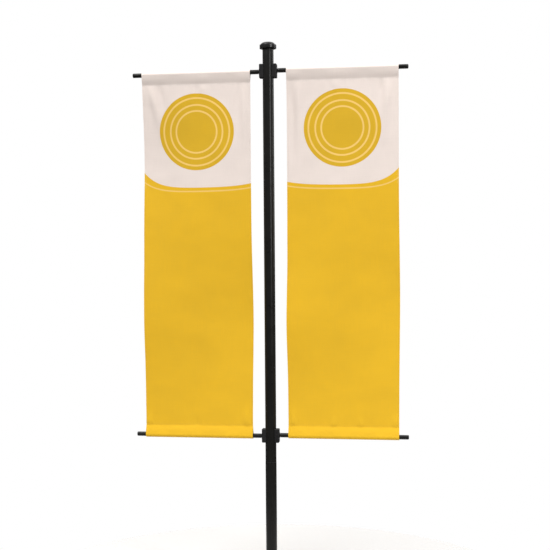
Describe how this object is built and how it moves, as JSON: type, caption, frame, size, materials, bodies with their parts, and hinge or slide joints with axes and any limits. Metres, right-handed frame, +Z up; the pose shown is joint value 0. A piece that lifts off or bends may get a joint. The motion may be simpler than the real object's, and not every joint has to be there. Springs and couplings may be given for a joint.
{
  "type": "double pole banner",
  "caption": "Free-standing round pole on a bolt-down base, with side arms at two heights that carry a long cloth banner on each side, and a domed cap.",
  "frame": {"origin": "on the ground under the mast's axis, at the middle of the base plate's underside", "axes": "+Z up along the mast, +X along the arms to the right-hand banner, -Y the front"},
  "size_m": [1.5, 0.4, 2.9931],
  "materials": {
    "powder_coat": "satin black powder coat",
    "cast_metal": "black paint on a sand casting",
    "black_plastic": "moulded black nylon",
    "screw_steel": "zinc-plated steel",
    "banner_cloth": "printed woven polyester, yellow with an off-white head"
  },
  "bodies": {
    "root": {"base_plate": "powder_coat", "base_sleeve": "powder_coat", "base_gusset_1": "powder_coat", "base_gusset_2": "powder_coat", "base_gusset_3": "powder_coat", "base_gusset_4": "powder_coat", "base_clamp_bolt_1": "screw_steel", "base_clamp_bolt_2": "screw_steel", "base_clamp_bolt_3": "screw_steel", "base_clamp_bolt_4": "screw_steel", "lower_pole": "powder_coat", "pole_joint_spigot": "screw_steel", "spigot_screw_1": "screw_steel", "spigot_screw_2": "screw_steel"},
    "joint_ring": {"pole_joint_ring": "black_plastic"},
    "mast": {"upper_pole": "powder_coat", "pole_lock_screw_1": "screw_steel", "pole_lock_screw_2": "screw_steel", "saddle_bottom_left": "cast_metal", "saddle_bottom_right": "cast_metal", "saddle_top_left": "cast_metal", "saddle_top_right": "cast_metal", "hub_bolt_bottom_upper": "screw_steel", "hub_nut_bottom_upper": "screw_steel", "hub_bolt_bottom_lower": "screw_steel", "hub_nut_bottom_lower": "screw_steel", "hub_bolt_top_upper": "screw_steel", "hub_nut_top_upper": "screw_steel", "hub_bolt_top_lower": "screw_steel", "hub_nut_top_lower": "screw_steel"},
    "cap": {"cap_dome": "cast_metal", "cap_insert": "black_plastic", "cap_screw": "screw_steel"},
    "bottom_left_arm": {"arm_bottom_left": "powder_coat", "arm_end_cap_bottom_left": "black_plastic", "arm_lock_screw_bottom_left": "screw_steel"},
    "bottom_right_arm": {"arm_bottom_right": "powder_coat", "arm_end_cap_bottom_right": "black_plastic", "arm_lock_screw_bottom_right": "screw_steel"},
    "top_left_arm": {"arm_top_left": "powder_coat", "arm_end_cap_top_left": "black_plastic", "arm_lock_screw_top_left": "screw_steel"},
    "top_right_arm": {"arm_top_right": "powder_coat", "arm_end_cap_top_right": "black_plastic", "arm_lock_screw_top_right": "screw_steel"},
    "left_banner": {"banner_left": "banner_cloth"},
    "right_banner": {"banner_right": "banner_cloth"}
  },
  "joints": [
    {"name": "mast_turn", "type": "hinge", "parent": "root", "child": "joint_ring", "pos_m": [0, 0, 0.721], "axis": [0, 0, 1], "continuous": true},
    {"name": "mast_lift", "type": "slide", "parent": "joint_ring", "child": "mast", "axis": [0, 0, 1], "range_m": [0, 0.095]},
    {"name": "cap_lift", "type": "slide", "parent": "mast", "child": "cap", "axis": [0, 0, 1], "range_m": [0, 0.045]},
    {"name": "arm_bottom_left_slide", "type": "slide", "parent": "mast", "child": "bottom_left_arm", "axis": [-1, 0, 0], "range_m": [0, 0.08]},
    {"name": "arm_bottom_right_slide", "type": "slide", "parent": "mast", "child": "bottom_right_arm", "axis": [1, 0, 0], "range_m": [0, 0.08]},
    {"name": "arm_top_left_slide", "type": "slide", "parent": "mast", "child": "top_left_arm", "axis": [-1, 0, 0], "range_m": [0, 0.08]},
    {"name": "arm_top_right_slide", "type": "slide", "parent": "mast", "child": "top_right_arm", "axis": [1, 0, 0], "range_m": [0, 0.08]},
    {"name": "banner_left_slide", "type": "slide", "parent": "top_left_arm", "child": "left_banner", "axis": [-1, 0, 0], "range_m": [0, 0.655]},
    {"name": "banner_right_slide", "type": "slide", "parent": "top_right_arm", "child": "right_banner", "axis": [1, 0, 0], "range_m": [0, 0.655]}
  ]
}
